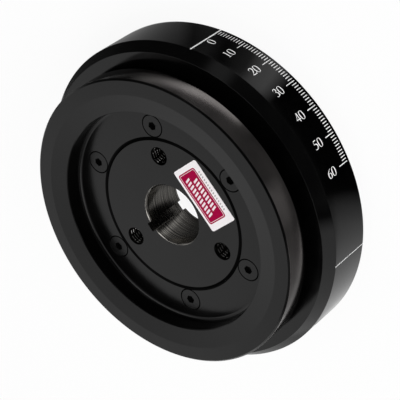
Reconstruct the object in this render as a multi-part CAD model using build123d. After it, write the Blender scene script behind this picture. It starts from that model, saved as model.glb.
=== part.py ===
"""Harmonic balancer for a V8 crankshaft: keyed hub, bonded inertia ring, bolted retaining plate.

The frame is in millimetres. The part stands on its rear face, with the bore along +Z and the
front face on top. The origin is the centre of the rear face. The keyway points along +Y, and
the timing scale runs clockwise from its zero mark, seen from the front.
"""
import os

from build123d import *

# Inertia ring: the heavy outer ring that carries the timing scale.
RING_DIAMETER = 171.5
RING_THICKNESS = 29.7
RING_WALL = 17.75             # from the ring's bore to its outside
RING_BEVEL_WIDTH = 3.9        # radial width of the steep bevel on the front edge
RING_BEVEL_HEIGHT = 5.3       # axial height of the same bevel
RING_EDGE_BREAK = 0.5

# Timing scale, engraved in the ring's outside: zero line, degree ticks and quarter-turn lines.
ZERO_MARK_ANGLE = -45.0       # degrees from +X, anticlockwise seen from the front
SCALE_RANGE_DEG = 60
TICK_STEP_DEG = 1
LONG_TICK_EVERY = 10
QUARTER_TURN_DEG = 90
ENGRAVING_DEPTH = 0.25
TICK_WIDTH = 0.5
ZERO_MARK_WIDTH = 0.9
SHORT_TICK_LENGTH = 3.3
LONG_TICK_LENGTH = 6.5
TICK_REAR_MARGIN = 1.9        # from the rear face to the near end of every tick
LONG_LINE_OVERRUN = 1.3       # how far a full-width line's cutter passes the band's edges

# Elastomer ring, bonded between the hub's rim and the ring's bore.
ELASTOMER_WALL = 4.0
ELASTOMER_SETBACK = 1.5       # how far each end stays inside the ring's faces

# Retaining plate: the dished front plate, held to the hub by countersunk screws.
PLATE_DIAMETER = 152.0
PLATE_RIM_THICKNESS = 13.2
PLATE_TO_RING_GAP = 5.5       # free space in front of the ring, so that it can lag the hub
PLATE_FLOOR_THICKNESS = 6.0
PLATE_SPIGOT_WALL = 3.7       # the floor reaches this far under the dish's wall
PLATE_EDGE_BREAK = 0.9
PLATE_LAND_WIDTH = 8.1        # the flat face, from the plate's edge to the cone round the dish
DISH_CONE_DEPTH = 1.6
DISH_DIAMETER = 117.0
DISH_DEPTH = 11.0
DISH_EDGE_BREAK = 0.4
DISH_FILLET = 6.0

# Hub: boss, web and rim in one piece, with a pilot that fills the middle of the plate.
BORE_DIAMETER = 31.6
BORE_LENGTH = 24.5
BORE_ENTRY_BEVEL = 0.7
KEYWAY_WIDTH = 4.8
KEYWAY_DEPTH = 3.0            # below the bore's wall, at the middle of the key
BOSS_WALL = 9.2
PILOT_DIAMETER = 81.4
PILOT_CLEARANCE = 0.1         # radial, between the pilot and the plate
PILOT_EDGE_BREAK = 0.9        # on both sides of the joint between the pilot and the plate
WEB_THICKNESS = 14.4
HUB_RIM_WALL = 8.0
HUB_CORNER_BEVEL = 2.0        # in the corners behind the web
HUB_EDGE_BREAK = 0.5

# Threaded pulley holes, through the web.
PULLEY_HOLE_COUNT = 3
PULLEY_CIRCLE_DIAMETER = 63.1
PULLEY_THREAD_DIAMETER = 9.5
PULLEY_FIRST_ANGLE = 90.0

# Countersunk socket screws that hold the plate.
SCREW_COUNT = 6
SCREW_CIRCLE_DIAMETER = 94.8
SCREW_FIRST_ANGLE = 90.0
SCREW_DIAMETER = 6.0
SCREW_LENGTH = 16.0
SCREW_HEAD_DIAMETER = 11.4
SCREW_SOCKET_SIDES = 6
SCREW_SOCKET_FLATS = 4.0      # between opposite sides
SCREW_SOCKET_DEPTH = 2.4
SCREW_SEAT_CLEARANCE = 0.1    # round the head and the thread
SCREW_SHANK_CLEARANCE = 0.3   # round the shank, in the plate
SCREW_HOLE_SPARE = 2.0        # tapped depth beyond the screw's tip

# Label on the hub's face, opposite the keyway.
LABEL_LENGTH = 34.0
LABEL_WIDTH = 17.5
LABEL_THICKNESS = 0.15
LABEL_CORNER = 1.2
LABEL_CENTRE_RADIUS = 26.9

# Radii and heights that follow from the sizes above.
ring_radius = RING_DIAMETER / 2
ring_bore_radius = ring_radius - RING_WALL
hub_rim_radius = ring_bore_radius - ELASTOMER_WALL
plate_radius = PLATE_DIAMETER / 2
dish_radius = DISH_DIAMETER / 2
spigot_radius = dish_radius + PLATE_SPIGOT_WALL
bore_radius = BORE_DIAMETER / 2
boss_radius = bore_radius + BOSS_WALL
pilot_radius = PILOT_DIAMETER / 2
plate_bore_radius = pilot_radius + PILOT_CLEARANCE

plate_back_z = RING_THICKNESS + PLATE_TO_RING_GAP
front_z = plate_back_z + PLATE_RIM_THICKNESS
hub_face_z = front_z - DISH_DEPTH
plate_seat_z = hub_face_z - PLATE_FLOOR_THICKNESS
boss_rear_z = hub_face_z - BORE_LENGTH
web_rear_z = plate_seat_z - WEB_THICKNESS
band_height = RING_THICKNESS - RING_BEVEL_HEIGHT


def turned(corners):
    """Revolve a closed half-section about Z.

    Each corner is (radius, height), or (radius, height, "round" or "bevel", size).
    """
    outline = make_face(Polyline(*[(c[0], 0, c[1]) for c in corners], close=True))
    for radius, height, edge, size in (c for c in corners if len(c) == 4):
        vertex = outline.vertices().sort_by_distance((radius, 0, height))[0]
        outline = fillet(vertex, size) if edge == "round" else chamfer(vertex, size)
    return revolve(outline, Axis.Z)


def around(count, first_angle, radius):
    """Places evenly spaced on a circle about Z, the first one at first_angle."""
    angles = [first_angle + index * 360 / count for index in range(count)]
    return [Rot(0, 0, angle) * Pos(radius, 0, 0) for angle in angles]


def screw_places():
    return around(SCREW_COUNT, SCREW_FIRST_ANGLE, SCREW_CIRCLE_DIAMETER / 2)


def standing(radius, height, bottom):
    """A cylinder that stands on the height given as bottom."""
    return Pos(0, 0, bottom) * Cylinder(radius, height, align=(Align.CENTER, Align.CENTER, Align.MIN))


def engraved_line(angle, width, bottom, top):
    """The cutter for one line along the ring's outside, from height bottom to height top."""
    depth_in_and_out = ENGRAVING_DEPTH + ENGRAVING_DEPTH
    line = Box(depth_in_and_out, width, top - bottom)
    return Rot(0, 0, angle) * Pos(ring_radius, 0, (bottom + top) / 2) * line


def timing_scale():
    """Cutters for the zero line, the degree ticks after it and the quarter-turn lines."""
    bottom = -LONG_LINE_OVERRUN
    top = band_height + LONG_LINE_OVERRUN
    lines = [engraved_line(ZERO_MARK_ANGLE, ZERO_MARK_WIDTH, bottom, top)]
    for quarter in range(1, 360 // QUARTER_TURN_DEG):
        angle = ZERO_MARK_ANGLE - quarter * QUARTER_TURN_DEG
        lines.append(engraved_line(angle, TICK_WIDTH, bottom, top))
    for degree in range(TICK_STEP_DEG, SCALE_RANGE_DEG + 1, TICK_STEP_DEG):
        length = SHORT_TICK_LENGTH if degree % LONG_TICK_EVERY else LONG_TICK_LENGTH
        tick_top = TICK_REAR_MARGIN + length
        lines.append(engraved_line(ZERO_MARK_ANGLE - degree, TICK_WIDTH, TICK_REAR_MARGIN, tick_top))
    return lines


def inertia_ring():
    ring = turned([
        (ring_bore_radius, 0, "bevel", RING_EDGE_BREAK),
        (ring_radius, 0, "bevel", RING_EDGE_BREAK),
        (ring_radius, band_height),
        (ring_radius - RING_BEVEL_WIDTH, RING_THICKNESS),
        (ring_bore_radius, RING_THICKNESS, "bevel", RING_EDGE_BREAK),
    ])
    return ring - timing_scale()


def elastomer_ring():
    top = RING_THICKNESS - ELASTOMER_SETBACK
    return turned([
        (hub_rim_radius, ELASTOMER_SETBACK),
        (ring_bore_radius, ELASTOMER_SETBACK),
        (ring_bore_radius, top),
        (hub_rim_radius, top),
    ])


def screw_profile(clearance, shank_radius, bottom):
    """Head and shank of one screw as a turned solid, grown by clearance, down to height bottom."""
    head_radius = SCREW_HEAD_DIAMETER / 2 + clearance
    cone_height = head_radius - shank_radius
    return turned([
        (0, bottom),
        (shank_radius, bottom),
        (shank_radius, hub_face_z - cone_height),
        (head_radius, hub_face_z),
        (0, hub_face_z),
    ])


def plate_screws():
    """The countersunk screws, each with its hexagon socket, as one group of solids."""
    shank_radius = SCREW_DIAMETER / 2
    tip_z = hub_face_z - SCREW_LENGTH
    socket_outline = RegularPolygon(SCREW_SOCKET_FLATS / 2, SCREW_SOCKET_SIDES, major_radius=False)
    socket = Pos(0, 0, hub_face_z - SCREW_SOCKET_DEPTH) * extrude(socket_outline, SCREW_SOCKET_DEPTH)
    screw = screw_profile(0, shank_radius, tip_z) - socket
    return Compound(children=[place * screw for place in screw_places()])


def retaining_plate():
    plate = turned([
        (plate_bore_radius, plate_seat_z),
        (spigot_radius, plate_seat_z),
        (spigot_radius, plate_back_z),
        (plate_radius, plate_back_z, "bevel", PLATE_EDGE_BREAK),
        (plate_radius, front_z, "bevel", PLATE_EDGE_BREAK),
        (plate_radius - PLATE_LAND_WIDTH, front_z),
        (dish_radius, front_z - DISH_CONE_DEPTH, "bevel", DISH_EDGE_BREAK),
        (dish_radius, hub_face_z, "round", DISH_FILLET),
        (plate_bore_radius, hub_face_z, "bevel", PILOT_EDGE_BREAK),
    ])
    shank_radius = SCREW_DIAMETER / 2 + SCREW_SHANK_CLEARANCE
    head_radius = SCREW_HEAD_DIAMETER / 2 + SCREW_SEAT_CLEARANCE
    seat = screw_profile(SCREW_SEAT_CLEARANCE, shank_radius, plate_seat_z - SCREW_SEAT_CLEARANCE)
    way_in = standing(head_radius, DISH_DEPTH, hub_face_z)
    hole = seat + way_in
    return plate - [place * hole for place in screw_places()]


def keyway():
    """The cutter for the keyway, along the whole bore on the +Y side."""
    reach = bore_radius + KEYWAY_DEPTH
    slot = Box(KEYWAY_WIDTH, reach, 2 * BORE_LENGTH, align=(Align.CENTER, Align.MIN, Align.CENTER))
    return Pos(0, 0, (hub_face_z + boss_rear_z) / 2) * slot


def hub():
    body = turned([
        (bore_radius, boss_rear_z, "bevel", BORE_ENTRY_BEVEL),
        (boss_radius, boss_rear_z, "bevel", HUB_EDGE_BREAK),
        (boss_radius, web_rear_z, "bevel", HUB_CORNER_BEVEL),
        (hub_rim_radius - HUB_RIM_WALL, web_rear_z, "bevel", HUB_CORNER_BEVEL),
        (hub_rim_radius - HUB_RIM_WALL, ELASTOMER_SETBACK, "bevel", HUB_EDGE_BREAK),
        (hub_rim_radius, ELASTOMER_SETBACK),
        (hub_rim_radius, plate_seat_z, "bevel", HUB_EDGE_BREAK),
        (pilot_radius, plate_seat_z),
        (pilot_radius, hub_face_z, "bevel", PILOT_EDGE_BREAK),
        (bore_radius, hub_face_z, "bevel", BORE_ENTRY_BEVEL),
    ])
    pulley_hole = standing(PULLEY_THREAD_DIAMETER / 2, 2 * BORE_LENGTH, boss_rear_z)
    pulley_places = around(PULLEY_HOLE_COUNT, PULLEY_FIRST_ANGLE, PULLEY_CIRCLE_DIAMETER / 2)
    tapped_radius = SCREW_DIAMETER / 2 + SCREW_SEAT_CLEARANCE
    tapped_depth = SCREW_LENGTH - PLATE_FLOOR_THICKNESS + SCREW_HOLE_SPARE
    tapped_hole = standing(tapped_radius, tapped_depth, plate_seat_z - tapped_depth)
    cutters = [keyway()]
    cutters += [place * pulley_hole for place in pulley_places]
    cutters += [place * tapped_hole for place in screw_places()]
    return body - cutters


def label():
    sheet = extrude(RectangleRounded(LABEL_LENGTH, LABEL_WIDTH, LABEL_CORNER), LABEL_THICKNESS)
    return Pos(0, -LABEL_CENTRE_RADIUS, hub_face_z) * sheet


NODES = {
    "hub": hub,
    "retaining_plate": retaining_plate,
    "plate_screws": plate_screws,
    "inertia_ring": inertia_ring,
    "elastomer_ring": elastomer_ring,
    "label": label,
}

os.makedirs("parts", exist_ok=True)
for name, build in NODES.items():
    export_step(build(), f"parts/{name}.step")
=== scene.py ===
"""Looks of a harmonic balancer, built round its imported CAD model.

The frame is the CAD model's, in metres: the part stands on its rear face on the floor, with
the bore along +Z, the keyway towards +Y and the label towards -Y. Sizes that a piece takes
from the CAD model are read from the frame; the others are named here in millimetres.
"""
import math
import random

import bmesh
import bpy
from mathutils import Matrix, Vector


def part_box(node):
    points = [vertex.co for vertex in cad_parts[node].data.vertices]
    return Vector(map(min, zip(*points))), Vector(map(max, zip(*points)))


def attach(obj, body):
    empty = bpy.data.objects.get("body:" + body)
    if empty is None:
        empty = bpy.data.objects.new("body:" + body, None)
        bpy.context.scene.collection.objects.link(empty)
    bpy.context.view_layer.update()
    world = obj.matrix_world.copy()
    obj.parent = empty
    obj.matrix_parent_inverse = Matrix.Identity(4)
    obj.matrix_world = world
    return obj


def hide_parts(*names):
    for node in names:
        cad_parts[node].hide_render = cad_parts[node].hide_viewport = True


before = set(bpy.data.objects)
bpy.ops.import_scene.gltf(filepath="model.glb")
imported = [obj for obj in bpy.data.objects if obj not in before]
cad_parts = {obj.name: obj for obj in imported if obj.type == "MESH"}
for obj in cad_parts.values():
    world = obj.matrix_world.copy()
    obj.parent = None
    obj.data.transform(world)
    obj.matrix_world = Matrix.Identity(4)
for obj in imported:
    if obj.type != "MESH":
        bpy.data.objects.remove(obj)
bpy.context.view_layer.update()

MM = 0.001

# --- Sizes read from the frame, in millimetres ---


def low(node):
    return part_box(node)[0] / MM


def high(node):
    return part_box(node)[1] / MM


RING_RADIUS = high("inertia_ring").x
RING_FRONT_Z = high("inertia_ring").z
RUBBER_OUTER_RADIUS = high("elastomer_ring").x
HUB_RIM_RADIUS = high("hub").x
HUB_FACE_Z = high("hub").z
HUB_REAR_Z = low("hub").z
PLATE_RADIUS = high("retaining_plate").x
PLATE_SEAT_Z = low("retaining_plate").z
FRONT_Z = high("retaining_plate").z
SCREW_TIP_Z = low("plate_screws").z
LABEL_HIGH = high("label")

# --- The turned sections, as the CAD model has them ---
RING_BAND_TOP_Z = 24.4        # where the ring's bevel starts
RING_BEVEL_WIDTH = 3.9
PLATE_BACK_Z = 35.2
SPIGOT_RADIUS = 62.0
LAND_INNER_RADIUS = 67.9      # the flat face ends here, and a shallow cone leads into the dish
DISH_CONE_DEPTH = 1.6
DISH_RADIUS = 58.5
DISH_FILLET = 2.0
PILOT_RADIUS = 40.7
PLATE_BORE_RADIUS = 40.8
JOINT_BEVEL = 0.9             # on both sides of the joint between hub and plate
EDGE_BEVEL = 0.9              # on the plate's edges
SMALL_BEVEL = 0.5
BORE_RADIUS = 15.8
BORE_BEVEL = 0.7
KEYWAY_WIDTH = 4.8
KEYWAY_REACH = 18.8           # from the axis to the keyway's floor
BOSS_RADIUS = 25.0
BOSS_REAR_Z = 12.9
WEB_REAR_Z = 17.0
WEB_CORNER_BEVEL = 2.0
HUB_RIM_INNER_RADIUS = 56.0

# --- Holes and screws ---
PULLEY_HOLE_RADIUS = 4.75
PULLEY_CIRCLE_RADIUS = 31.55
PULLEY_ANGLES = (90, 210, 330)
THREAD_PITCH = 25.4 / 16
THREAD_CREST_RADIUS = 4.12
THREAD_HIGHLIGHT_DEPTH = 0.16     # how far outwards from the crest the upward flanks get the painted highlight
HIGHLIGHT_FLANK_NORMAL_Z = (0.3, 0.95)   # the normal's Z on a flank that faces up, which gets the painted highlight
SCREW_CIRCLE_RADIUS = 47.4
SCREW_ANGLES = tuple(30 + 60 * k for k in range(6))
SCREW_HEAD_RADIUS = 5.7
SCREW_SHANK_RADIUS = 3.0
SCREW_CLEARANCE = 0.1
SCREW_PLATE_HOLE_RADIUS = 3.3
SCREW_TAPPED_RADIUS = 3.1
SCREW_TAPPED_Z = 19.4
SOCKET_FLATS = 4.0
SOCKET_DEPTH = 2.4

# --- Timing scale ---
ZERO_ANGLE = -45.0
SCALE_DEGREES = 60
GROOVE_DEPTH = 0.25
GROOVE_WIDTH = 0.5
ZERO_WIDTH = 0.9
TICK_BOTTOM_Z = 1.9
SHORT_TICK = 3.3
LONG_TICK = 6.5
DIGIT_HEIGHT = 4.5
FRONT_DIGIT_Z = 16.4
REAR_DIGIT_Z = 13.2
ZERO_DIGIT_Z = 12.8
ZERO_DIGIT_TURN = -2.26       # degrees from the zero line

# --- Camera: its axes, and its place in ring radii measured from the axis at FRONT_Z ---
CAMERA_FRAME_TURN = -112.35   # degrees about Z, from the frame of the values below to the CAD's
CAMERA_RIGHT = (0.74795, -0.29193, -0.59611)
CAMERA_UP = (0.0, 0.89809, -0.43982)
CAMERA_BACK = (0.66375, 0.32896, 0.67173)
CAMERA_PLACE = (5.918, 2.9035, 5.6076)   # in ring radii, from the front face's centre
CAMERA_FOCAL = 138.96         # mm on the default 36 mm sensor
CAMERA_AZIMUTH = CAMERA_FRAME_TURN + math.degrees(math.atan2(CAMERA_PLACE[1], CAMERA_PLACE[0]))
FLOOR_GLOW = 0.92             # share of the floor's white that is even, without the shadow


# --- Mesh tools ---


def collect(obj):
    bpy.context.scene.collection.objects.link(obj)
    return obj


def object_from(name, bm):
    mesh = bpy.data.meshes.new(name)
    bm.to_mesh(mesh)
    bm.free()
    return collect(bpy.data.objects.new(name, mesh))


def evaluated(obj):
    """Replaces the object's mesh by what its modifiers make of it."""
    bpy.context.view_layer.update()
    depsgraph = bpy.context.evaluated_depsgraph_get()
    mesh = bpy.data.meshes.new_from_object(obj.evaluated_get(depsgraph))
    obj.modifiers.clear()
    old = obj.data
    obj.data = mesh
    bpy.data.meshes.remove(old)
    return obj


def rounded(corners, steps=4):
    """The points of a closed outline of (x, y, rounding radius) corners, in millimetres."""
    points = []
    count = len(corners)
    for index, (x, y, radius) in enumerate(corners):
        corner = Vector((x, y))
        if radius == 0:
            points.append(corner)
            continue
        before = (Vector(corners[index - 1][:2]) - corner).normalized()
        after = (Vector(corners[(index + 1) % count][:2]) - corner).normalized()
        half = before.angle(after) / 2
        centre = corner + (before + after).normalized() * (radius / math.sin(half))
        start = corner + before * (radius / math.tan(half)) - centre
        end = corner + after * (radius / math.tan(half)) - centre
        sweep = start.angle_signed(end)
        for step in range(steps + 1):
            turn = -sweep * step / steps
            points.append(centre + Matrix.Rotation(turn, 2) @ start)
    return points


def bevelled(x, y, size, toward_before, toward_after, rounding=0.12):
    """Two corners in place of one: unit steps point along the outline's two sides."""
    return [
        (x + toward_before[0] * size, y + toward_before[1] * size, rounding),
        (x + toward_after[0] * size, y + toward_after[1] * size, rounding),
    ]


def turned(name, outline, segments):
    """A solid turned about Z from a closed half-section of (radius, z) points."""
    bm = bmesh.new()
    rings = []
    for radius, z in outline:
        ring = []
        for k in range(segments):
            angle = 2 * math.pi * k / segments
            place = Vector((radius * math.cos(angle), radius * math.sin(angle), z)) * MM
            ring.append(bm.verts.new(place))
        rings.append(ring)
    for index, ring in enumerate(rings):
        following = rings[(index + 1) % len(rings)]
        for k in range(segments):
            after = (k + 1) % segments
            bm.faces.new((ring[k], ring[after], following[after], following[k]))
    bmesh.ops.recalc_face_normals(bm, faces=bm.faces)
    return object_from(name, bm)


def add_prism(bm, outline, bottom, top, matrix=Matrix()):
    """Adds a closed prism on a flat outline of (x, y) millimetres, between two heights."""
    low_ring = [bm.verts.new(matrix @ (Vector((x, y, bottom)) * MM)) for x, y in outline]
    high_ring = [bm.verts.new(matrix @ (Vector((x, y, top)) * MM)) for x, y in outline]
    count = len(outline)
    faces = [bm.faces.new(reversed(low_ring)), bm.faces.new(high_ring)]
    for k in range(count):
        after = (k + 1) % count
        faces.append(bm.faces.new((low_ring[k], low_ring[after], high_ring[after], high_ring[k])))
    return faces


def circle(radius, segments):
    angles = (2 * math.pi * k / segments for k in range(segments))
    return [(radius * math.cos(a), radius * math.sin(a)) for a in angles]


def rectangle(x0, y0, x1, y1):
    return [(x0, y0), (x1, y0), (x1, y1), (x0, y1)]


def on_circle(radius, angle):
    turn = Matrix.Rotation(math.radians(angle), 4, "Z")
    return turn @ Matrix.Translation((radius * MM, 0, 0))


def cut(obj, bm):
    """Cuts the solids of the bmesh out of the object."""
    bmesh.ops.recalc_face_normals(bm, faces=bm.faces)
    cutter = object_from(obj.name + "_cutter", bm)
    modifier = obj.modifiers.new("cut", "BOOLEAN")
    modifier.operation = "DIFFERENCE"
    modifier.solver = "EXACT"
    modifier.object = cutter
    evaluated(obj)
    mesh = cutter.data
    bpy.data.objects.remove(cutter)
    bpy.data.meshes.remove(mesh)
    return obj


def finish_shading(obj, sharp_degrees=32):
    """Smooth faces with sharp edges kept, and flat faces that stay flat beside roundings."""
    for polygon in obj.data.polygons:
        polygon.use_smooth = True
    obj.data.set_sharp_from_angle(angle=math.radians(sharp_degrees))
    modifier = obj.modifiers.new("weights", "WEIGHTED_NORMAL")
    modifier.keep_sharp = True
    modifier.weight = 100
    return evaluated(obj)


def paint_faces(obj, materials, pick):
    """Gives the object its materials, and each face the one that pick(centre, normal) names."""
    obj.data.materials.clear()
    names = list(materials)
    for name in names:
        obj.data.materials.append(materials[name])
    for polygon in obj.data.polygons:
        polygon.material_index = names.index(pick(polygon.center / MM, polygon.normal))


# --- Materials ---


class Nodes:
    """Adds and links shader nodes with little writing."""

    def __init__(self, name):
        self.material = bpy.data.materials.new(name)
        self.material.use_nodes = True
        self.tree = self.material.node_tree
        self.shader = self.tree.nodes["Principled BSDF"]

    def add(self, kind, values=None, **settings):
        node = self.tree.nodes.new(kind)
        for key, value in settings.items():
            setattr(node, key, value)
        for key, value in (values or {}).items():
            self.feed(node.inputs[key], value)
        return node

    def feed(self, socket, value):
        if isinstance(value, bpy.types.NodeSocket):
            self.tree.links.new(value, socket)
        else:
            socket.default_value = value

    def set(self, **values):
        for key, value in values.items():
            self.feed(self.shader.inputs[key.replace("_", " ")], value)

    def math(self, operation, a, b=0.0):
        return self.add("ShaderNodeMath", {0: a, 1: b}, operation=operation).outputs[0]

    def place(self):
        return self.add("ShaderNodeTexCoord").outputs["Object"]

    def radius_and_z(self):
        parts = self.add("ShaderNodeSeparateXYZ", {0: self.place()})
        x, y, z = parts.outputs
        flat = self.math("ADD", self.math("MULTIPLY", x, x), self.math("MULTIPLY", y, y))
        return self.math("SQRT", flat), z

    def noise(self, vector, scale, detail=2.0, roughness=0.5, dimensions="3D"):
        values = {"Scale": scale, "Detail": detail, "Roughness": roughness}
        values["Vector" if dimensions == "3D" else "W"] = vector
        node = self.add("ShaderNodeTexNoise", values, noise_dimensions=dimensions)
        return node.outputs["Fac"]

    def ramp(self, factor, *stops):
        node = self.add("ShaderNodeValToRGB", {"Fac": factor})
        elements = node.color_ramp.elements
        while len(elements) < len(stops):
            elements.new(0.5)
        for element, (position, value) in zip(elements, stops):
            element.position = position
            element.color = (*value, 1) if isinstance(value, tuple) else (value, value, value, 1)
        return node.outputs["Color"]

    def bump(self, height, strength, distance, normal=None):
        values = {"Height": height, "Strength": strength, "Distance": distance}
        if normal:
            values["Normal"] = normal
        return self.add("ShaderNodeBump", values).outputs["Normal"]


def turned_finish(name, dark, light, roughness, level, marks=0.5, along="radius", metal=0.0):
    """Black over turned steel: fine tool marks, faint cloudiness and a few specks."""
    n = Nodes(name)
    radius, z = n.radius_and_z()
    across = radius if along == "radius" else z
    lines = n.noise(across, 9000, 3.0, 0.6, "1D")
    clouds = n.noise(n.place(), 60, 3.0)
    specks = n.noise(n.place(), 2500, 2.0)
    n.set(Base_Color=n.ramp(clouds, (0.3, dark), (0.7, light)))
    spread = n.ramp(clouds, (0.3, roughness * 0.88), (0.7, roughness * 1.12))
    n.set(Roughness=spread)
    n.shader.inputs["Specular IOR Level"].default_value = level
    n.shader.inputs["Metallic"].default_value = metal
    coarse = n.bump(lines, marks, 0.000012)
    n.set(Normal=n.bump(specks, 0.12, 0.00001, coarse))
    return n.material


def gloss_black():
    n = Nodes("ring_gloss_black")
    z = n.radius_and_z()[1]
    ripple = n.noise(n.place(), 90, 2.0)
    lines = n.noise(z, 6000, 2.0, 0.5, "1D")
    n.set(Base_Color=n.ramp(ripple, (0.3, (0.0006, 0.0006, 0.0007)), (0.7, (0.0012, 0.0012, 0.0012))))
    n.set(Roughness=n.ramp(ripple, (0.3, 0.12), (0.7, 0.17)))
    n.shader.inputs["Specular IOR Level"].default_value = 0.28
    n.set(Normal=n.bump(lines, 0.25, 0.000006))
    return n.material


def bare_steel():
    """The bore's ground and turned steel. Its bright and dark rings along Z are painted into the colour:
    partly real turning marks, partly painted highlights on the rings.
    """
    n = Nodes("bore_steel_painted_ring_highlights")
    z = n.radius_and_z()[1]
    lines = n.noise(z, 1100, 4.0, 0.75, "1D")
    # Painted highlights: bright and dark bands of base colour along Z, partly real turning marks.
    n.set(Base_Color=n.ramp(lines, (0.36, (0.13, 0.124, 0.115)), (0.64, (0.72, 0.69, 0.64))))
    n.set(Metallic=1.0, Roughness=n.ramp(lines, (0.3, 0.14), (0.7, 0.22)))
    n.set(Normal=n.bump(lines, 0.6, 0.00002))
    return n.material


def thread_steel(name, dark, light):
    n = Nodes(name)
    clouds = n.noise(n.place(), 900, 3.0)
    n.set(Base_Color=n.ramp(clouds, (0.3, dark), (0.7, light)))
    n.set(Metallic=1.0, Roughness=0.12)
    n.set(Normal=n.bump(clouds, 0.3, 0.00002))
    return n.material


def rubber():
    n = Nodes("bonded_rubber")
    grain = n.noise(n.place(), 1800, 4.0, 0.65)
    n.set(Base_Color=n.ramp(grain, (0.3, (0.010, 0.010, 0.010)), (0.7, (0.022, 0.021, 0.020))))
    n.set(Roughness=n.ramp(grain, (0.3, 0.55), (0.7, 0.8)))
    n.set(Normal=n.bump(grain, 0.5, 0.00008))
    return n.material


def sheet_ink(name, color, roughness=0.32, variation=0.96, level=0.2):
    n = Nodes(name)
    grain = n.noise(n.place(), 1200, 2.0)
    darker = tuple(c * variation for c in color)
    n.set(Base_Color=n.ramp(grain, (0.35, darker), (0.65, color)))
    n.set(Roughness=n.ramp(grain, (0.3, roughness * 0.9), (0.7, roughness * 1.15)))
    n.shader.inputs["Specular IOR Level"].default_value = level
    n.set(Normal=n.bump(grain, 0.1, 0.00002))
    return n.material


FACE_BLACK = turned_finish("face_black", (0.0007, 0.0007, 0.00075), (0.0014, 0.0013, 0.0013), 0.19, 0.235)
HUB_BLACK = turned_finish("hub_black", (0.001, 0.001, 0.001), (0.0018, 0.0018, 0.0018), 0.21, 0.235)
SIDE_SATIN = turned_finish("side_satin", (0.16, 0.149, 0.146), (0.24, 0.223, 0.217), 0.11, 0.5,
                           marks=0.2, along="z", metal=1.0)
SCREW_BLACK = turned_finish("screw_black", (0.002, 0.002, 0.002), (0.0035, 0.0035, 0.0035), 0.27, 0.22)
# Painted shade: a darker, duller black for the sunk faces in the joints and screw seats, standing in for the
# shade that falls there.
GAP_PAINTED_SHADE = turned_finish("gap_painted_shade_finish", (0.0006, 0.0006, 0.0006), (0.0012, 0.0012, 0.0012), 0.45, 0.05)
RING_BLACK = gloss_black()
STEEL_PAINTED_RING_HIGHLIGHTS = bare_steel()
# Painted highlight and painted shade: bright steel for the upward thread flanks near the crest, near-black
# steel for all other thread faces.
THREAD_PAINTED_HIGHLIGHT = thread_steel("thread_painted_highlight", (0.7, 0.69, 0.67), (0.9, 0.88, 0.86))
THREAD_PAINTED_SHADE = thread_steel("thread_painted_shade", (0.008, 0.008, 0.007), (0.02, 0.019, 0.018))
RUBBER = rubber()
LABEL_WHITE = sheet_ink("label_white", (0.90, 0.86, 0.87))
CRIMSON = sheet_ink("label_crimson", (0.34, 0.0, 0.045), 0.4, 0.94, 0.02)
PALE_INK = sheet_ink("label_pale_ink", (0.86, 0.74, 0.79))
GREY_INK = sheet_ink("label_grey_ink", (0.42, 0.38, 0.39))
SCALE_PAINT = sheet_ink("scale_paint", (0.97, 0.97, 0.97), 0.5, 0.96)


# --- Turned pieces ---

RING_SEGMENTS = 540
PLATE_SEGMENTS = 384
HUB_SEGMENTS = 360


def ring_outline():
    small = 0.15
    inner, outer = RUBBER_OUTER_RADIUS, RING_RADIUS
    corners = bevelled(inner, 0, SMALL_BEVEL, (0, 1), (1, 0))
    corners += bevelled(outer, 0, SMALL_BEVEL, (-1, 0), (0, 1))
    corners.append((outer, RING_BAND_TOP_Z, 0.25))
    corners.append((outer - RING_BEVEL_WIDTH, RING_FRONT_Z, small))
    corners += bevelled(inner, RING_FRONT_Z, SMALL_BEVEL, (1, 0), (0, -1))
    return rounded(corners)


def scale_lines():
    """(angle, width, bottom z, top z) of every engraved line."""
    end = 1.3
    lines = [(ZERO_ANGLE, ZERO_WIDTH, -end, RING_BAND_TOP_Z + end)]
    for quarter in (1, 2, 3):
        lines.append((ZERO_ANGLE - 90 * quarter, GROOVE_WIDTH, -end, RING_BAND_TOP_Z + end))
    for degree in range(1, SCALE_DEGREES + 1):
        length = SHORT_TICK if degree % 10 else LONG_TICK
        lines.append((ZERO_ANGLE - degree, GROOVE_WIDTH, TICK_BOTTOM_Z, TICK_BOTTOM_Z + length))
    return lines


def make_ring():
    ring = turned("ring_turned", ring_outline(), RING_SEGMENTS)
    bm = bmesh.new()
    for angle, width, bottom, top in scale_lines():
        outline = rectangle(-GROOVE_DEPTH, -width / 2, GROOVE_DEPTH, width / 2)
        add_prism(bm, outline, bottom, top, on_circle(RING_RADIUS, angle))
    cut(ring, bm)
    finish_shading(ring)
    paint_faces(ring, {"black": RING_BLACK}, lambda centre, normal: "black")
    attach(ring, "root")
    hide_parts("inertia_ring")


def make_scale_paint():
    """White paint that fills the engraved lines nearly to the surface."""
    below_surface = 0.05
    margin = 0.01
    bm = bmesh.new()
    for angle, width, bottom, top in scale_lines():
        low_end = max(bottom, SMALL_BEVEL)
        high_end = min(top, RING_BAND_TOP_Z)
        half = width / 2 - margin
        outline = rectangle(-GROOVE_DEPTH - margin, -half, -below_surface, half)
        add_prism(bm, outline, low_end, high_end, on_circle(RING_RADIUS, angle))
    bmesh.ops.recalc_face_normals(bm, faces=bm.faces)
    paint = object_from("scale_paint", bm)
    paint.data.materials.append(SCALE_PAINT)
    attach(paint, "root")


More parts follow.
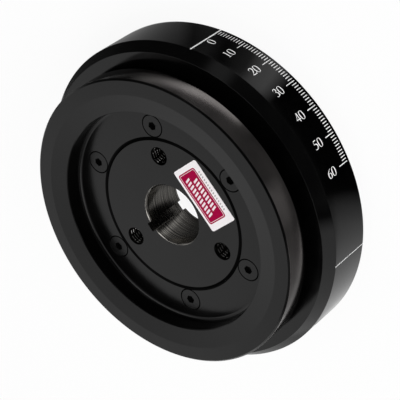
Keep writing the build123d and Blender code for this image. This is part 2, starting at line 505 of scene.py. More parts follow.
# Strokes of the numerals: (x, y, width) points on a smooth line, in digit heights, with x from
# the digit's middle and y from its foot. A stroke that starts with "straight" has no curve.
NUMERAL_STROKES = {
    "0": [[(0, .983, .04), (-.20, .86, .10), (-.265, .5, .135), (-.20, .14, .10), (0, .017, .04),
           (.20, .14, .10), (.265, .5, .135), (.20, .86, .10), (0, .983, .04)]],
    "1": [["straight", (.02, .98, .12), (.02, .02, .12)],
          ["straight", (.02, .97, .05), (-.17, .86, .03)],
          ["straight", (-.17, .018, .036), (.21, .018, .036)]],
    "2": [[(-.29, .72, .03), (-.22, .88, .07), (-.02, .965, .08), (.17, .87, .12), (.19, .68, .135),
           (.06, .42, .10), (-.14, .2, .06), (-.29, .06, .04)],
          ["straight", (-.30, .05, .10), (.27, .05, .10)],
          ["straight", (.26, .07, .08), (.33, .22, .03)]],
    "3": [[(-.26, .78, .03), (-.17, .91, .06), (.0, .965, .07), (.15, .88, .11), (.15, .72, .12),
           (.04, .58, .07), (-.10, .52, .035)],
          [(-.10, .53, .035), (.08, .50, .06), (.20, .36, .12), (.17, .15, .125), (-.02, .03, .06),
           (-.18, .04, .07), (-.27, .08, .08)]],
    "4": [["straight", (.12, 1.0, .12), (.12, 0, .12)],
          ["straight", (.12, .97, .06), (-.30, .29, .05)],
          ["straight", (-.33, .27, .09), (.32, .27, .09)]],
    "5": [["straight", (-.13, .94, .10), (.24, .94, .10)],
          ["straight", (-.13, .95, .04), (-.23, .58, .04)],
          [(-.23, .585, .05), (-.02, .60, .08), (.17, .48, .13), (.20, .27, .135), (.07, .09, .10),
           (-.12, .03, .06), (-.28, .07, .08)]],
    "6": [[(.29, .985, .03), (.06, .88, .06), (-.17, .66, .11), (-.25, .36, .135), (-.17, .11, .11),
           (.01, .022, .05), (.18, .12, .11), (.235, .31, .13), (.17, .50, .10), (.02, .575, .05),
           (-.14, .52, .04), (-.21, .44, .03)]],
}


def smooth_stroke(points, steps=7):
    """Points on a Catmull-Rom curve through the stroke's (x, y, width) points."""
    vectors = [Vector(p) for p in points]
    padded = [2 * vectors[0] - vectors[1]] + vectors + [2 * vectors[-1] - vectors[-2]]
    line = []
    for k in range(1, len(padded) - 2):
        a, b, c, d = padded[k - 1:k + 3]
        for step in range(steps):
            t = step / steps
            line.append(0.5 * (2 * b + (c - a) * t + (2 * a - 5 * b + 4 * c - d) * t ** 2
                               + (3 * b - a - 3 * c + d) * t ** 3))
    return line + [vectors[-1]]


def add_stroke(bm, points, to_place, bottom, top):
    """A thin slab along the stroke; to_place(x, y, height) puts it on the ring."""
    if points[0] == "straight":
        start, end = Vector(points[1]), Vector(points[2])
        line = [start.lerp(end, step / 10) for step in range(11)]
    else:
        line = smooth_stroke(points)
    rows = []
    for index, point in enumerate(line):
        before = line[max(index - 1, 0)]
        after = line[min(index + 1, len(line) - 1)]
        along = Vector((after.x - before.x, after.y - before.y)).normalized()
        side = Vector((-along.y, along.x)) * point.z / 2
        row = []
        for sign, height in ((1, top), (-1, top), (-1, bottom), (1, bottom)):
            x = point.x + side.x * sign
            y = point.y + side.y * sign
            row.append(bm.verts.new(to_place(x, y, height)))
        rows.append(row)
    for row, following in zip(rows, rows[1:]):
        for k in range(4):
            after = (k + 1) % 4
            bm.faces.new((row[k], following[k], following[after], row[after]))
    bm.faces.new(rows[0])
    bm.faces.new(reversed(rows[-1]))


def make_numerals():
    """0 to 60, read from the front to the rear, with their tops towards the zero line."""
    sunk = 0.04
    proud = 0.02
    layer = 0.003                 # between strokes that cross, so that no faces coincide
    bm = bmesh.new()

    def add_digit(digit, angle, z):
        def to_place(x, y, height):
            around = math.radians(angle) + (y - 0.5) * DIGIT_HEIGHT / RING_RADIUS
            radius = RING_RADIUS + height
            reach = z - x * DIGIT_HEIGHT
            return Vector((radius * math.cos(around), radius * math.sin(around), reach)) * MM
        for index, stroke in enumerate(NUMERAL_STROKES[digit]):
            add_stroke(bm, stroke, to_place, -sunk, proud + layer * index)

    add_digit("0", ZERO_ANGLE + ZERO_DIGIT_TURN, ZERO_DIGIT_Z)
    for degree in range(10, SCALE_DEGREES + 1, 10):
        first, second = str(degree)
        add_digit(first, ZERO_ANGLE - degree, FRONT_DIGIT_Z)
        add_digit(second, ZERO_ANGLE - degree, REAR_DIGIT_Z)
    bmesh.ops.recalc_face_normals(bm, faces=bm.faces)
    numerals = object_from("scale_numerals", bm)
    numerals.data.materials.append(SCALE_PAINT)
    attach(numerals, "root")


def plate_outline():
    corners = [(PLATE_BORE_RADIUS, PLATE_SEAT_Z, 0), (SPIGOT_RADIUS, PLATE_SEAT_Z, 0.15),
               (SPIGOT_RADIUS, PLATE_BACK_Z, 0.2)]
    corners += bevelled(PLATE_RADIUS, PLATE_BACK_Z, EDGE_BEVEL, (-1, 0), (0, 1), 0.15)
    corners += bevelled(PLATE_RADIUS, FRONT_Z, EDGE_BEVEL, (0, -1), (-1, 0), 0.15)
    corners.append((LAND_INNER_RADIUS, FRONT_Z, 1.0))
    up_the_cone = Vector((LAND_INNER_RADIUS - DISH_RADIUS, DISH_CONE_DEPTH)).normalized()
    corners += bevelled(DISH_RADIUS, FRONT_Z - DISH_CONE_DEPTH, 0.4, up_the_cone, (0, -1), 0.12)
    floor = rounded([(DISH_RADIUS, FRONT_Z, 0), (DISH_RADIUS, HUB_FACE_Z, DISH_FILLET),
                     (PLATE_BORE_RADIUS, HUB_FACE_Z, 0)], steps=20)[1:-1]
    joint = bevelled(PLATE_BORE_RADIUS, HUB_FACE_Z, JOINT_BEVEL, (1, 0), (0, -1), 0.08)
    first = rounded(corners + [(DISH_RADIUS, HUB_FACE_Z, 0)] + joint)
    sharp_corner = Vector((DISH_RADIUS, HUB_FACE_Z))
    outline = []
    for point in first:
        if (point - sharp_corner).length < 1e-6:
            outline.extend(floor)
        else:
            outline.append(point)
    return outline


def make_plate():
    plate = turned("plate_turned", plate_outline(), PLATE_SEGMENTS)
    head = SCREW_HEAD_RADIUS + SCREW_CLEARANCE
    edge_break = 0.3
    bm = bmesh.new()
    for angle in SCREW_ANGLES:
        seat = [(0, PLATE_SEAT_Z - 1), (SCREW_PLATE_HOLE_RADIUS, PLATE_SEAT_Z - 1),
                (SCREW_PLATE_HOLE_RADIUS, HUB_FACE_Z - (head - SCREW_PLATE_HOLE_RADIUS)),
                (head, HUB_FACE_Z - edge_break), (head + edge_break, HUB_FACE_Z),
                (head + edge_break, HUB_FACE_Z + 4), (0, HUB_FACE_Z + 4)]
        add_turned_solid(bm, seat, 64, on_circle(SCREW_CIRCLE_RADIUS, angle))
    cut(plate, bm)
    finish_shading(plate)

    def pick(centre, normal):
        radius = math.hypot(centre.x, centre.y)
        if radius > PLATE_RADIUS - EDGE_BEVEL / 2 or centre.z < PLATE_BACK_Z + 0.1:
            return "side"
        in_seat = any(math.dist(centre[:2], spot) < head + edge_break + 0.1 for spot in screw_spots)
        # The joint bevel and the sunk faces of the screw seats get the painted shade.
        sunk = radius < PLATE_BORE_RADIUS + JOINT_BEVEL + 0.1 or (in_seat and centre.z < HUB_FACE_Z)
        return "painted_gap_shade" if sunk and abs(normal.z) < 0.95 else "face"

    screw_spots = [on_circle(SCREW_CIRCLE_RADIUS, angle).translation[:2] for angle in SCREW_ANGLES]
    screw_spots = [(x / MM, y / MM) for x, y in screw_spots]
    paint_faces(plate, {"face": FACE_BLACK, "side": SIDE_SATIN, "painted_gap_shade": GAP_PAINTED_SHADE}, pick)
    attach(plate, "root")
    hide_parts("retaining_plate")


def add_turned_solid(bm, outline, segments, matrix):
    """Adds a solid turned about its own Z from (radius, z) points that start and end at radius 0."""
    middle = outline[1:-1]
    rings = []
    for radius, z in middle:
        rings.append([bm.verts.new(matrix @ (Vector((x, y, z)) * MM)) for x, y in circle(radius, segments)])
    for ring, following in zip(rings, rings[1:]):
        for k in range(segments):
            after = (k + 1) % segments
            bm.faces.new((ring[k], ring[after], following[after], following[k]))
    bm.faces.new(reversed(rings[0]))
    bm.faces.new(rings[-1])


def hub_outline():
    corners = bevelled(BORE_RADIUS, BOSS_REAR_Z, BORE_BEVEL, (0, 1), (1, 0))
    corners += bevelled(BOSS_RADIUS, BOSS_REAR_Z, SMALL_BEVEL, (-1, 0), (0, 1))
    corners += bevelled(BOSS_RADIUS, WEB_REAR_Z, WEB_CORNER_BEVEL, (0, -1), (1, 0), 0.6)
    corners += bevelled(HUB_RIM_INNER_RADIUS, WEB_REAR_Z, WEB_CORNER_BEVEL, (-1, 0), (0, -1), 0.6)
    corners += bevelled(HUB_RIM_INNER_RADIUS, HUB_REAR_Z, SMALL_BEVEL, (0, 1), (1, 0))
    corners.append((HUB_RIM_RADIUS, HUB_REAR_Z, 0.15))
    corners += bevelled(HUB_RIM_RADIUS, PLATE_SEAT_Z, SMALL_BEVEL, (0, -1), (-1, 0))
    corners.append((PILOT_RADIUS, PLATE_SEAT_Z, 0))
    corners += bevelled(PILOT_RADIUS, HUB_FACE_Z, JOINT_BEVEL, (0, -1), (-1, 0), 0.08)
    corners += bevelled(BORE_RADIUS, HUB_FACE_Z, BORE_BEVEL, (1, 0), (0, -1))
    return rounded(corners)


def make_hub():
    hub = turned("hub_turned", hub_outline(), HUB_SEGMENTS)
    bm = bmesh.new()
    half = KEYWAY_WIDTH / 2
    corner = 0.25
    keyway = rounded([(-half, 0, 0), (half, 0, 0), (half, KEYWAY_REACH, corner),
                      (-half, KEYWAY_REACH, corner)])
    add_prism(bm, keyway, BOSS_REAR_Z - 2, HUB_FACE_Z + 2)
    chamfer = 0.7
    for angle in PULLEY_ANGLES:
        r = PULLEY_HOLE_RADIUS
        hole = [(0, WEB_REAR_Z - 1), (r + 1 + 0.4, WEB_REAR_Z - 1), (r, WEB_REAR_Z + 0.4),
                (r, HUB_FACE_Z - 0.1), (r + 0.1 + chamfer, HUB_FACE_Z + chamfer), (0, HUB_FACE_Z + chamfer)]
        add_turned_solid(bm, hole, 64, on_circle(PULLEY_CIRCLE_RADIUS, angle))
    for angle in SCREW_ANGLES:
        hole = [(0, SCREW_TAPPED_Z), (SCREW_TAPPED_RADIUS, SCREW_TAPPED_Z),
                (SCREW_TAPPED_RADIUS, PLATE_SEAT_Z + 1), (0, PLATE_SEAT_Z + 1)]
        add_turned_solid(bm, hole, 32, on_circle(SCREW_CIRCLE_RADIUS, angle))
    cut(hub, bm)
    finish_shading(hub)

    def pick(centre, normal):
        radius = math.hypot(centre.x, centre.y)
        in_bore = radius < BORE_RADIUS + BORE_BEVEL + 0.1 and abs(normal.z) < 0.95
        in_keyway = abs(centre.x) < half + 0.1 and 0 < centre.y < KEYWAY_REACH + 0.1 and abs(normal.z) < 0.5
        # The joint bevel round the pilot gets the painted shade.
        if abs(radius - PILOT_RADIUS) < JOINT_BEVEL + 0.05 and abs(normal.z) < 0.95:
            return "painted_gap_shade"
        return "steel" if in_bore or in_keyway else "black"

    paint_faces(hub, {"black": HUB_BLACK, "steel": STEEL_PAINTED_RING_HIGHLIGHTS, "painted_gap_shade": GAP_PAINTED_SHADE}, pick)
    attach(hub, "root")
    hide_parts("hub")


def make_threads():
    """The right-hand threads inside the pulley holes, as thin sleeves on the holes' walls."""
    around = 60
    per_pitch = 8
    top_margin = 0.25
    bottom = WEB_REAR_Z + 0.45
    top = HUB_FACE_Z - top_margin
    rows = int((top - bottom) / THREAD_PITCH * per_pitch)
    mouth = 0.75                  # the thread runs out into the hole's chamfer over this height
    bm = bmesh.new()
    for angle in PULLEY_ANGLES:
        matrix = on_circle(PULLEY_CIRCLE_RADIUS, angle)
        inner, outer = [], []
        for row in range(rows + 1):
            z = bottom + (top - bottom) * row / rows
            inner_ring, outer_ring = [], []
            for k in range(around):
                phase = (z / THREAD_PITCH - k / around) % 1
                flank = abs(2 * phase - 1)
                depth = PULLEY_HOLE_RADIUS - THREAD_CREST_RADIUS
                radius = THREAD_CREST_RADIUS + depth * min(1, 1.15 * flank)
                end = min(top - z, z - bottom)
                opening = PULLEY_HOLE_RADIUS - depth * end / mouth
                radius = min(max(radius, opening), PULLEY_HOLE_RADIUS - 0.02)
                turn = 2 * math.pi * k / around
                direction = Vector((math.cos(turn), math.sin(turn), 0))
                lift = Vector((0, 0, z))
                inner_ring.append(bm.verts.new(matrix @ ((direction * radius + lift) * MM)))
                outer_ring.append(bm.verts.new(matrix @ ((direction * PULLEY_HOLE_RADIUS + lift) * MM)))
            inner.append(inner_ring)
            outer.append(outer_ring)
        for row in range(rows):
            for k in range(around):
                after = (k + 1) % around
                bm.faces.new((inner[row][after], inner[row][k], inner[row + 1][k], inner[row + 1][after]))
                bm.faces.new((outer[row][k], outer[row][after], outer[row + 1][after], outer[row + 1][k]))
        for k in range(around):
            after = (k + 1) % around
            bm.faces.new((inner[0][k], inner[0][after], outer[0][after], outer[0][k]))
            bm.faces.new((inner[-1][after], inner[-1][k], outer[-1][k], outer[-1][after]))
    threads = object_from("pulley_threads", bm)
    finish_shading(threads, 40)
    axes = [on_circle(PULLEY_CIRCLE_RADIUS, angle).translation[:2] for angle in PULLEY_ANGLES]
    axes = [(x / MM, y / MM) for x, y in axes]

    def pick(centre, normal):
        radius = min(math.dist(centre[:2], axis) for axis in axes)
        faces_up = HIGHLIGHT_FLANK_NORMAL_Z[0] < normal.z < HIGHLIGHT_FLANK_NORMAL_Z[1]
        # Upward flanks near the crest get the painted highlight; the rest, under the key root, get the
        # painted shade.
        return "painted_highlight" if faces_up and radius < THREAD_CREST_RADIUS + THREAD_HIGHLIGHT_DEPTH else "root"

    paint_faces(threads, {"root": THREAD_PAINTED_SHADE, "painted_highlight": THREAD_PAINTED_HIGHLIGHT}, pick)
    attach(threads, "root")


def make_screws():
    """Countersunk socket screws, each with its own turn of the hexagon."""
    rounding = 0.3
    thread_pitch = 1.0
    tip_bevel = 0.6
    outline = [(0, SCREW_TIP_Z), (SCREW_SHANK_RADIUS - tip_bevel, SCREW_TIP_Z),
               (SCREW_SHANK_RADIUS, SCREW_TIP_Z + tip_bevel)]
    z = SCREW_TIP_Z + tip_bevel
    while z < PLATE_SEAT_Z - 1:
        outline += [(SCREW_SHANK_RADIUS - 0.5, z + thread_pitch / 2), (SCREW_SHANK_RADIUS, z + thread_pitch)]
        z += thread_pitch
    cone_bottom = HUB_FACE_Z - (SCREW_HEAD_RADIUS - SCREW_SHANK_RADIUS)
    outline += [(SCREW_SHANK_RADIUS, cone_bottom)]
    edge = rounded([(SCREW_SHANK_RADIUS, cone_bottom, 0), (SCREW_HEAD_RADIUS, HUB_FACE_Z, rounding / 2),
                    (0, HUB_FACE_Z, 0)])
    outline += [tuple(p) for p in edge[1:-1]]
    outline += [(0, HUB_FACE_Z)]
    turns = random.Random(6)
    bm = bmesh.new()
    sockets = bmesh.new()
    socket = circle(SOCKET_FLATS / 2 / math.cos(math.pi / 6), 6)
    for angle in SCREW_ANGLES:
        place = on_circle(SCREW_CIRCLE_RADIUS, angle)
        add_turned_solid(bm, outline, 72, place)
        twist = place @ Matrix.Rotation(turns.uniform(0, math.pi / 3), 4, "Z")
        add_prism(sockets, socket, HUB_FACE_Z - SOCKET_DEPTH, HUB_FACE_Z + 1, twist)
    bmesh.ops.recalc_face_normals(bm, faces=bm.faces)
    screws = object_from("plate_screw_set", bm)
    cut(screws, sockets)
    finish_shading(screws)
    screws.data.materials.clear()
    screws.data.materials.append(SCREW_BLACK)
    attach(screws, "root")
    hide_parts("plate_screws")


# --- Label: bare vinyl with plain fields of colour ---
FIELD_X = (-13.5, 14.3)
FIELD_Y = (-32.0, -19.4)
FIELD_CORNER = 1.3
BORDER_INSET = 0.65           # of the pale line, from the colour field's edge
BORDER_WIDTH = 0.24
INK_HEIGHT = 0.012
LABEL_DASHES = ((-23.4, 3.2, 1.95, 11), (-28.0, 3.2, 1.95, 9))   # (y, height, pitch, count) of each row
LABEL_SMALL_DASHES = (-33.4, 1.1, 1.5, 15)


def rounded_rectangle(x0, y0, x1, y1, radius, steps=6):
    return rounded([(x0, y0, radius), (x1, y0, radius), (x1, y1, radius), (x0, y1, radius)], steps)


def slanted_dash(x, y, width, height):
    """A plain slanted bar, leaning as far as a seventh of its height each way."""
    lean, half = height / 7, width / 2
    return [(x - half + lean, y - height / 2), (x + half + lean, y - height / 2),
            (x + half - lean, y + height / 2), (x - half - lean, y + height / 2)]


def add_frame(bm, outer, inner, bottom, top):
    """A flat band between two outlines with as many points each."""
    loops = []
    for outline, z in ((outer, bottom), (outer, top), (inner, top), (inner, bottom)):
        loops.append([bm.verts.new(Vector((x, y, z)) * MM) for x, y in outline])
    for index, loop in enumerate(loops):
        following = loops[(index + 1) % 4]
        for k in range(len(loop)):
            after = (k + 1) % len(loop)
            bm.faces.new((loop[k], loop[after], following[after], following[k]))


def ink_piece(name, bm, material):
    bmesh.ops.recalc_face_normals(bm, faces=bm.faces)
    piece = object_from(name, bm)
    piece.data.materials.append(material)
    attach(piece, "root")


def make_label():
    sheet_top = LABEL_HIGH.z
    field_top = sheet_top + INK_HEIGHT
    print_top = field_top + INK_HEIGHT
    x0, x1 = FIELD_X
    y0, y1 = FIELD_Y
    bm = bmesh.new()
    add_prism(bm, rounded_rectangle(x0, y0, x1, y1, FIELD_CORNER), sheet_top, field_top)
    ink_piece("label_colour_field", bm, CRIMSON)
    bm = bmesh.new()
    inset = BORDER_INSET
    outer = rounded_rectangle(x0 + inset, y0 + inset, x1 - inset, y1 - inset, FIELD_CORNER - 0.4)
    inset += BORDER_WIDTH
    inner = rounded_rectangle(x0 + inset, y0 + inset, x1 - inset, y1 - inset, FIELD_CORNER - 0.7)
    add_frame(bm, outer, inner, field_top, print_top)
    ink_piece("label_border_line", bm, PALE_INK)
    bm = bmesh.new()
    middle = (x0 + x1) / 2
    for y, height, pitch, count in LABEL_DASHES:
        for k in range(count):
            x = middle + (k - (count - 1) / 2) * pitch
            add_prism(bm, slanted_dash(x, y, pitch * 0.56, height), field_top, print_top)
    ink_piece("label_dashes", bm, PALE_INK)
    bm = bmesh.new()
    y, height, pitch, count = LABEL_SMALL_DASHES
    for k in range(count):
        x = middle + (k - (count - 1) / 2) * pitch
        add_prism(bm, slanted_dash(x, y, pitch * 0.5, height), sheet_top, field_top)
    ink_piece("label_small_dashes", bm, GREY_INK)
    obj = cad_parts["label"]
    obj.data.materials.clear()
    obj.data.materials.append(LABEL_WHITE)


# --- Camera, floor and light ---


def spun(vector, degrees=CAMERA_FRAME_TURN):
    """The vector turned about Z."""
    return Matrix.Rotation(math.radians(degrees), 3, "Z") @ Vector(vector)


def make_camera():
    place = spun(CAMERA_PLACE) * RING_RADIUS * MM
    place.z += FRONT_Z * MM
    data = bpy.data.cameras.new("camera")
    data.lens = CAMERA_FOCAL
    data.clip_end = 50
    camera = collect(bpy.data.objects.new("camera", data))
    axes = Matrix((spun(CAMERA_RIGHT), spun(CAMERA_UP), spun(CAMERA_BACK))).transposed()
    camera.matrix_world = Matrix.Translation(place) @ axes.to_4x4()
    bpy.context.scene.camera = camera


def shader_math(tree, operation, a, b):
    node = tree.nodes.new("ShaderNodeMath")
    node.operation = operation
    for socket, value in zip(node.inputs, (a, b)):
        if isinstance(value, bpy.types.NodeSocket):
            tree.links.new(value, socket)
        else:
            socket.default_value = value
    return node.outputs[0]


def seen_rays(tree, beyond=0.0):
    """1 for camera, glossy and transmission rays, otherwise 0; glossy ones only past a radius."""
    path = tree.nodes.new("ShaderNodeLightPath")
    glossy = path.outputs["Is Glossy Ray"]
    if beyond:
        place = tree.nodes.new("ShaderNodeTexCoord").outputs["Object"]
        length = tree.nodes.new("ShaderNodeVectorMath")
        length.operation = "LENGTH"
        tree.links.new(place, length.inputs[0])
        outside = shader_math(tree, "GREATER_THAN", length.outputs["Value"], beyond)
        glossy = shader_math(tree, "MULTIPLY", glossy, outside)
    total = shader_math(tree, "MAXIMUM", path.outputs["Is Camera Ray"], glossy)
    return shader_math(tree, "MAXIMUM", total, path.outputs["Is Transmission Ray"])


def make_floor():
    half = 3.0
    mesh = bpy.data.meshes.new("floor")
    corners = [(-half, -half, 0), (half, -half, 0), (half, half, 0), (-half, half, 0)]
    mesh.from_pydata(corners, [], [(0, 1, 2, 3)])
    floor = collect(bpy.data.objects.new("floor", mesh))
    floor.location.z = -0.00005
    material = bpy.data.materials.new("floor_white")
    material.use_nodes = True
    tree = material.node_tree
    shader = tree.nodes["Principled BSDF"]
    shader.inputs["Base Color"].default_value = (0.9, 0.9, 0.9, 1)
    shader.inputs["Roughness"].default_value = 0.9
    shader.inputs["Specular IOR Level"].default_value = 0.0
    glow = tree.nodes.new("ShaderNodeEmission")
    glow.inputs["Strength"].default_value = 1.0
    share = tree.nodes.new("ShaderNodeMath")
    share.operation = "MULTIPLY"
    share.inputs[1].default_value = FLOOR_GLOW
    tree.links.new(seen_rays(tree, beyond=RING_RADIUS * MM), share.inputs[0])
    mix = tree.nodes.new("ShaderNodeMixShader")
    tree.links.new(share.outputs[0], mix.inputs[0])
    tree.links.new(shader.outputs[0], mix.inputs[1])
    tree.links.new(glow.outputs[0], mix.inputs[2])
    tree.links.new(mix.outputs[0], tree.nodes["Material Output"].inputs["Surface"])
    mesh.materials.append(material)


def make_world():
    world = bpy.data.worlds.new("world")
    bpy.context.scene.world = world
    world.use_nodes = True
    tree = world.node_tree
    background = tree.nodes["Background"]
    background.inputs["Color"].default_value = (1, 1, 1, 1)
    level = tree.nodes.new("ShaderNodeMapRange")
    level.inputs["To Min"].default_value = 0.45
    level.inputs["To Max"].default_value = 1.0
    tree.links.new(seen_rays(tree), level.inputs["Value"])
    tree.links.new(level.outputs[0], background.inputs["Strength"])


def beside_camera(degrees, distance, height):
    """A place round the part, in metres, by its turn from the camera's side."""
    turn = math.radians(CAMERA_AZIMUTH + degrees)
    return (distance * math.cos(turn), distance * math.sin(turn), height)


def softbox(name, place, target, size, watts):
    data = bpy.data.lights.new(name, "AREA")
    data.shape = "RECTANGLE"
    data.size, data.size_y = size
    data.energy = watts
    lamp = collect(bpy.data.objects.new(name, data))
    lamp.location = place
    lamp.rotation_euler = (Vector(target) - Vector(place)).to_track_quat("-Z", "Y").to_euler()
    return lamp


# Tones that the gloss shows of the floor round the part, by degrees from the camera's side.
# They glow in reflections alone. They were worked out from tones read in the photo, divided by
# what the gloss reflects, and then adjusted to match it from this scene's own camera,
# so they stand for no general studio. Each card is a ring: (inner radius, outer radius, tones).
CARDS = (
    (1.0, 50.0, ((-180, 0.02), (-155, 0.1), (-137, 0.17), (-92, 0.15), (-78, 0.0), (22, 0.0), (31, 0.05),
                 (38, 0.34), (54, 0.3), (64, 0.12), (84, 0.09), (106, 0.06), (128, 0.03), (180, 0.02))),
    (86.0, 103.0, ((-92, 0.55), (-86, 0.8), (-78, 0.95), (-70, 0.9), (-53, 0.8), (-42, 0.6), (-35, 0.35),
                   (-29, 0.0), (12, 0.0), (18, 1.25), (23, 1.0), (28, 0.2), (33, 0.1), (38, 0.02), (45, 0.1),
                   (52, 0.05), (58, 0.15), (66, 0.2), (78, 0.26), (90, 0.3), (104, 0.15))),
    (103.0, 108.0, ((-100, 0.35), (-62, 0.4), (-54, 0.5), (-42, 0.4), (-35, 0.25), (-29, 0.0), (12, 0.0),
                    (18, 1.25), (23, 1.0), (28, 0.2), (36, 0.0), (45, 0.1), (60, 0.05), (104, 0.02))),
    (108.0, 113.5, ((-95, 0.25), (-80, 0.25), (-67, 0.2), (-54, 0.12), (-40, 0.06), (-27, 0.07), (-18, 0.1),
                    (7, 0.06), (14, 0.15), (19, 0.7), (27, 0.9), (36, 1.05), (42, 1.0), (47, 0.9), (54, 0.6),
                    (62, 0.3), (74, 0.1), (80, 0.0), (110, 0.0))),
    (113.5, 500.0, ((-140, 0.4), (-125, 0.45), (-97, 0.4), (-83, 0.3), (-70, 0.2), (-56, 0.15), (-42, 0.12),
                    (-30, 0.22), (-21, 0.24), (-13, 0.1), (7, 0.08), (20, 0.12), (42, 0.1), (49, 0.06),
                    (83, 0.05), (95, 0.06), (138, 0.04), (150, 0.9))),
)
BOARD_RADIUS = 0.2            # metres
BOARD_HEIGHT = 0.078
BOARD_TONES = ((-160, 1), (-52, 1), (-45, 0), (-42, 0))
DOME_RADIUS = 0.5             # metres
DOME_DARK = 0.04
DOME_TOP = (72.0, 76.0)       # degrees up, where the light overhead begins and is full
# Patches of light in the dome, placed for the same camera, some by tones read in the photo too:
# azimuth and height in degrees, each as (middle, half width, softness), and the strength.
DOME_LIGHTS = (
    ((48.0, 7.0, 3.0), (25.0, 9.0, 2.0), 0.5),
    ((-88.0, 50.0, 8.0), (60.0, 11.0, 3.0), 2.0),
    ((58.0, 30.0, 8.0), (63.0, 10.0, 2.0), 2.6),
    ((112.0, 24.0, 8.0), (58.0, 12.0, 4.0), 1.8),
    ((70.0, 26.0, 5.0), (34.0, 6.0, 3.0), 0.12),
    # weaker ones for the other sides
    ((140.0, 30.0, 10.0), (30.0, 14.0, 5.0), 0.45),
    ((-104.0, 42.0, 8.0), (31.0, 8.0, 5.0), 0.4),
    ((2.0, 50.0, 8.0), (12.0, 7.0, 4.0), 0.35),
)


def reflected_only(obj):
    """Shows the stage piece in reflections alone, so that it takes no light from the part."""
    obj.visible_camera = False
    obj.visible_diffuse = False
    obj.visible_shadow = False
    obj.visible_transmission = False
    obj.visible_volume_scatter = False


def azimuth_degrees(tree):
    """Degrees round the part from the camera's side, on a stage piece."""
    place = tree.nodes.new("ShaderNodeTexCoord").outputs["Object"]
    parts = tree.nodes.new("ShaderNodeSeparateXYZ")
    tree.links.new(place, parts.inputs[0])
    turn = shader_math(tree, "ARCTAN2", parts.outputs[1], parts.outputs[0])
    return shader_math(tree, "MULTIPLY", turn, 180 / math.pi)


def glowing(name):
    material = bpy.data.materials.new(name)
    material.use_nodes = True
    tree = material.node_tree
    tree.nodes.remove(tree.nodes["Principled BSDF"])
    glow = tree.nodes.new("ShaderNodeEmission")
    tree.links.new(glow.outputs[0], tree.nodes["Material Output"].inputs["Surface"])
    return material, tree, glow


def stepped(tree, value, low, high):
    """0 below low and 1 above high, with a straight slope between; low may be the larger."""
    span = tree.nodes.new("ShaderNodeMapRange")
    for name, number in (("Value", value), ("From Min", low), ("From Max", high)):
        if isinstance(number, bpy.types.NodeSocket):
            tree.links.new(number, span.inputs[name])
        else:
            span.inputs[name].default_value = number
    return span.outputs[0]


def tone_curve(tree, value, stops):
    """A curve through (value, tone) stops."""
    start, end = stops[0][0], stops[-1][0]
    tones = tree.nodes.new("ShaderNodeValToRGB")
    elements = tones.color_ramp.elements
    while len(elements) < len(stops):
        elements.new(0.5)
    for element, (place, tone) in zip(elements, stops):
        element.position = (place - start) / (end - start)
        element.color = (tone, tone, tone, 1)
    tree.links.new(stepped(tree, value, start, end), tones.inputs["Fac"])
    return tones.outputs["Color"]


def swept_strip(name, start, end, inner, outer):
    """A strip round Z from (radius, height) inner to outer, turned to the camera's side."""
    steps = 120
    bm = bmesh.new()
    rows = []
    for k in range(steps + 1):
        angle = math.radians(start + (end - start) * k / steps)
        rows.append([bm.verts.new((r * math.cos(angle), r * math.sin(angle), z)) for r, z in (inner, outer)])
    for row, following in zip(rows, rows[1:]):
        bm.faces.new((row[0], row[1], following[1], following[0]))
    strip = object_from(name, bm)
    strip.rotation_euler.z = math.radians(CAMERA_AZIMUTH)
    return strip


def make_dark_cards():
    """Ring-shaped cards on the floor, with graded tones, that the gloss shows."""
    for number, (inner, outer, stops) in enumerate(CARDS, 1):
        inner, outer = (inner * MM, 0.0003), (outer * MM, 0.0003)
        card = swept_strip("dark_card_%d" % number, stops[0][0], stops[-1][0], inner, outer)
        material, tree, glow = glowing("card_tones_%d" % number)
        tree.links.new(tone_curve(tree, azimuth_degrees(tree), stops), glow.inputs["Color"])
        card.data.materials.append(material)
        reflected_only(card)


def make_pale_board():
    """A low pale board on one side of the part only, which the ring's bevel shows."""
    start, end = BOARD_TONES[0][0], BOARD_TONES[-1][0]
    foot, top = (BOARD_RADIUS, 0.0), (BOARD_RADIUS, BOARD_HEIGHT)
    board = swept_strip("pale_board", start, end, foot, top)
    material, tree, glow = glowing("board_tones")
    tree.links.new(tone_curve(tree, azimuth_degrees(tree), BOARD_TONES), glow.inputs["Color"])
    board.data.materials.append(material)
    reflected_only(board)


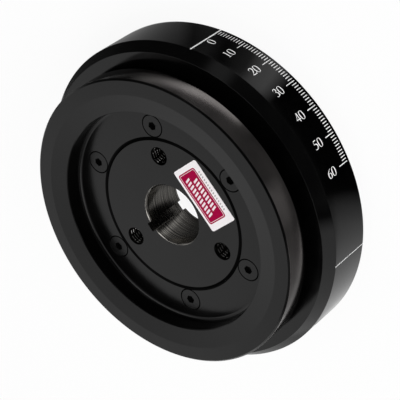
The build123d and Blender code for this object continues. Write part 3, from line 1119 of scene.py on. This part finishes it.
def make_reflection_dome():
    """What the gloss shows above the floor: a dark studio with a big softbox behind the part."""
    bm = bmesh.new()
    bmesh.ops.create_uvsphere(bm, u_segments=96, v_segments=48, radius=DOME_RADIUS)
    below = [v for v in bm.verts if v.co.z < -1e-6]
    bmesh.ops.delete(bm, geom=below, context="VERTS")
    dome = object_from("reflection_dome", bm)
    dome.rotation_euler.z = math.radians(CAMERA_AZIMUTH)
    material, tree, glow = glowing("dome_tones")
    place = tree.nodes.new("ShaderNodeTexCoord").outputs["Object"]
    parts = tree.nodes.new("ShaderNodeSeparateXYZ")
    tree.links.new(place, parts.inputs[0])
    x, y, z = parts.outputs
    degree = 180 / math.pi

    def both(operation, a, b):
        return shader_math(tree, operation, a, b)

    def ramped(value, low, high):
        return stepped(tree, value, low, high)

    def between(value, middle, half, soft):
        return ramped(both("ABSOLUTE", both("SUBTRACT", value, middle), 0.0), half + soft, half - soft)

    turn = both("MULTIPLY", both("ARCTAN2", y, x), degree)
    flat = both("SQRT", both("ADD", both("MULTIPLY", x, x), both("MULTIPLY", y, y)), 0.0)
    up = both("MULTIPLY", both("ARCTAN2", z, flat), degree)
    # softbox opposite the camera, wider near the floor
    from_back = both("SUBTRACT", 180.0, both("ABSOLUTE", turn, 0.0))
    reach = both("ADD", 33.0, both("MULTIPLY", both("MAXIMUM", both("SUBTRACT", 40.0, up), 0.0), 0.6))
    across = ramped(both("SUBTRACT", from_back, reach), 14.0, -14.0)
    softbox_tone = both("MULTIPLY", across, ramped(up, 71.0, 63.0))
    total = both("MAXIMUM", softbox_tone, ramped(up, *DOME_TOP))
    for sideways, upward, strength in DOME_LIGHTS:
        light = both("MULTIPLY", between(turn, *sideways), between(up, *upward))
        total = both("MAXIMUM", total, both("MULTIPLY", light, strength))
    total = both("MAXIMUM", total, DOME_DARK)
    tree.links.new(total, glow.inputs["Strength"])
    dome.data.materials.append(material)
    reflected_only(dome)


bpy.context.scene.view_settings.view_transform = "Standard"
make_camera()
make_floor()
make_world()
make_dark_cards()
make_pale_board()
make_reflection_dome()
softbox("key", (-0.6, 0.3, 1.4), (0, 0, 0), (0.9, 0.9), 9)
softbox("fill", beside_camera(-25, 1.1, 0.75), (0, 0, 0), (0.7, 0.7), 7).visible_glossy = False
make_ring()
make_scale_paint()
make_numerals()
make_plate()
make_hub()
make_threads()
make_screws()
make_label()
rubber_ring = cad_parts["elastomer_ring"]
rubber_ring.data.materials.clear()
rubber_ring.data.materials.append(RUBBER)
